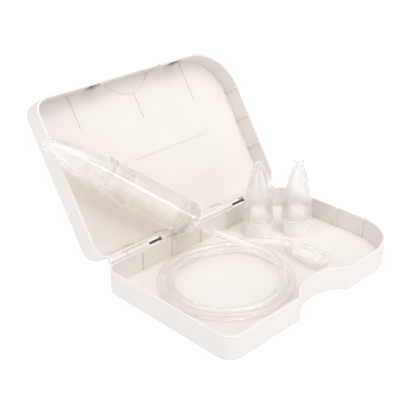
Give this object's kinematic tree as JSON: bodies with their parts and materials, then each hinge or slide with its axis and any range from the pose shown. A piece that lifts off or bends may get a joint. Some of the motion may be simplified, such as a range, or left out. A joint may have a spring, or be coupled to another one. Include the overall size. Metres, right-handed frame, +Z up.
{
  "type": "nasal aspirator kit",
  "caption": "Baby nasal aspirator with clear barrel, soft nozzle, coiled air tube and mouthpiece, with spare nozzles in a hinged clamshell carrying case.",
  "frame": {"origin": "centre of the case's flat underside", "axes": "+X along the hinge to the right, +Y to the hinge at the back, +Z up"},
  "size_m": [0.214, 0.2183, 0.1323],
  "materials": {
    "case_plastic": "satin, fine moulded texture",
    "white_plastic": "smooth white",
    "clear_plastic": "clear, slightly frosted",
    "clear_silicone": "clear silicone, soft sheen",
    "milky_silicone": "milky translucent",
    "steel_pin": "drawn wire",
    "foam": "open cell foam",
    "seal_rubber": "soft translucent rubber",
    "latch_plate": "dull taupe insert"
  },
  "bodies": {
    "case": {"base_tray": "case_plastic", "hinge_pin_left": "steel_pin", "hinge_pin_right": "steel_pin", "nozzle_peg_left": "white_plastic", "nozzle_peg_right": "white_plastic", "tail_cap": "clear_plastic", "tail_seal": "seal_rubber", "filter_disc": "foam", "air_tube_lead": "clear_silicone", "tube_coil": "clear_silicone", "air_tube_end": "clear_silicone", "mouthpiece": "milky_silicone"},
    "lid": {"lid_shell": "case_plastic", "latch_plate_left": "latch_plate", "latch_plate_right": "latch_plate"},
    "barrel": {"barrel": "clear_plastic", "spout": "clear_plastic", "spout_valve": "milky_silicone", "collector_cup": "clear_plastic"},
    "nozzle": {"nozzle": "clear_silicone"},
    "spare_left": {"spare_nozzle_left": "clear_silicone"},
    "spare_right": {"spare_nozzle_right": "clear_silicone"}
  },
  "joints": [
    {"name": "lid_hinge", "type": "hinge", "parent": "case", "child": "lid", "pos_m": [0, 0.0676, 0.02], "axis": [1, 0, 0], "range_deg": [-57.5, 0]},
    {"name": "barrel_off_cap", "type": "slide", "parent": "case", "child": "barrel", "axis": [-0.6953, 0.4075, 0.592], "range_m": [0, 0.0045]},
    {"name": "nozzle_pull", "type": "slide", "parent": "barrel", "child": "nozzle", "axis": [-0.6953, 0.4075, 0.592], "range_m": [0, 0.009]},
    {"name": "spare_left_lift", "type": "slide", "parent": "case", "child": "spare_left", "axis": [0, 0, 1], "range_m": [0, 0.025]},
    {"name": "spare_right_lift", "type": "slide", "parent": "case", "child": "spare_right", "axis": [0, 0, 1], "range_m": [0, 0.025]}
  ]
}
